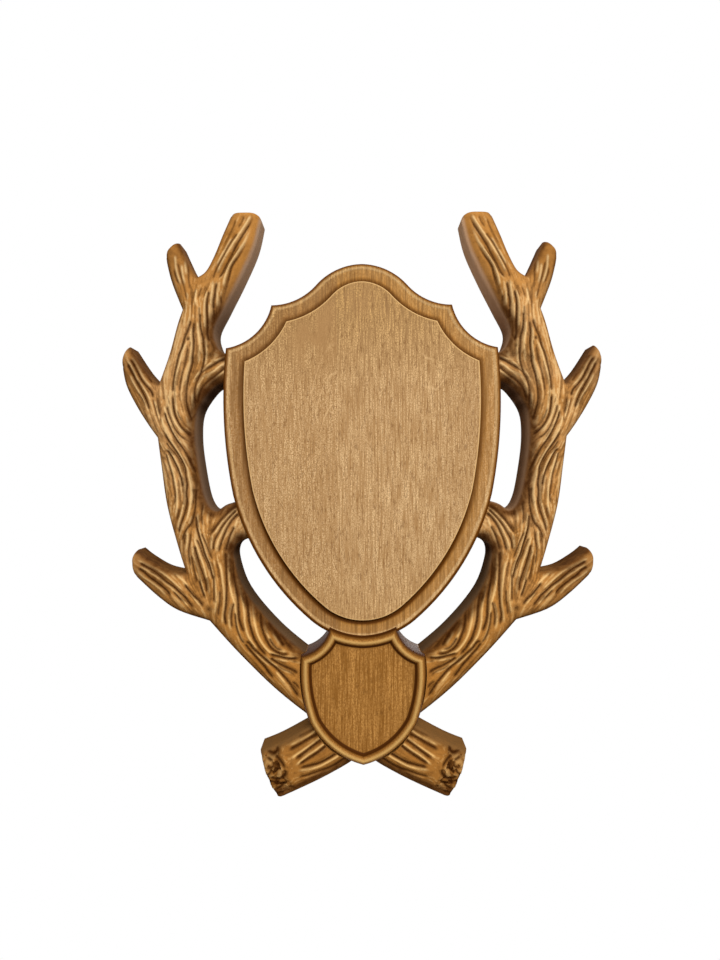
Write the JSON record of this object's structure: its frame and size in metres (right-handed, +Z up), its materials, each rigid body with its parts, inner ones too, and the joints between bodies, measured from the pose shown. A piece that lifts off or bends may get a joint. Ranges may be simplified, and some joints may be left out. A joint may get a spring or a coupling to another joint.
{
  "type": "wooden plaque",
  "caption": "Carved wooden trophy plaque: a moulded shield with a raised field and a small name shield on crossed bark-carved branches, hung from a keyhole plate.",
  "frame": {"origin": "centre of the round entry hole of the keyhole plate, at the flat back that lies on the wall", "axes": "+X to the right as seen from the front, +Z up, +Y into the wall, so the carved front faces -Y"},
  "size_m": [0.3696, 0.038, 0.4497],
  "materials": {
    "shield_wood": "golden stain, satin lacquer",
    "name_wood": "golden stain, satin lacquer",
    "bark_wood": "brown stain rubbed off the ridges, satin lacquer",
    "dowel_wood": "raw beech",
    "plate_steel": "zinc plated",
    "screw_steel": "yellow zinc plated"
  },
  "bodies": {
    "root": {"shield_stave_left": "shield_wood", "shield_stave_middle": "shield_wood", "shield_stave_right": "shield_wood", "name_shield": "name_wood", "left_branch": "bark_wood", "right_branch": "bark_wood", "stub_dowels": "dowel_wood", "crossing_screws": "screw_steel", "keyhole_plate": "plate_steel", "hanger_screws": "screw_steel"}
  },
  "joints": []
}
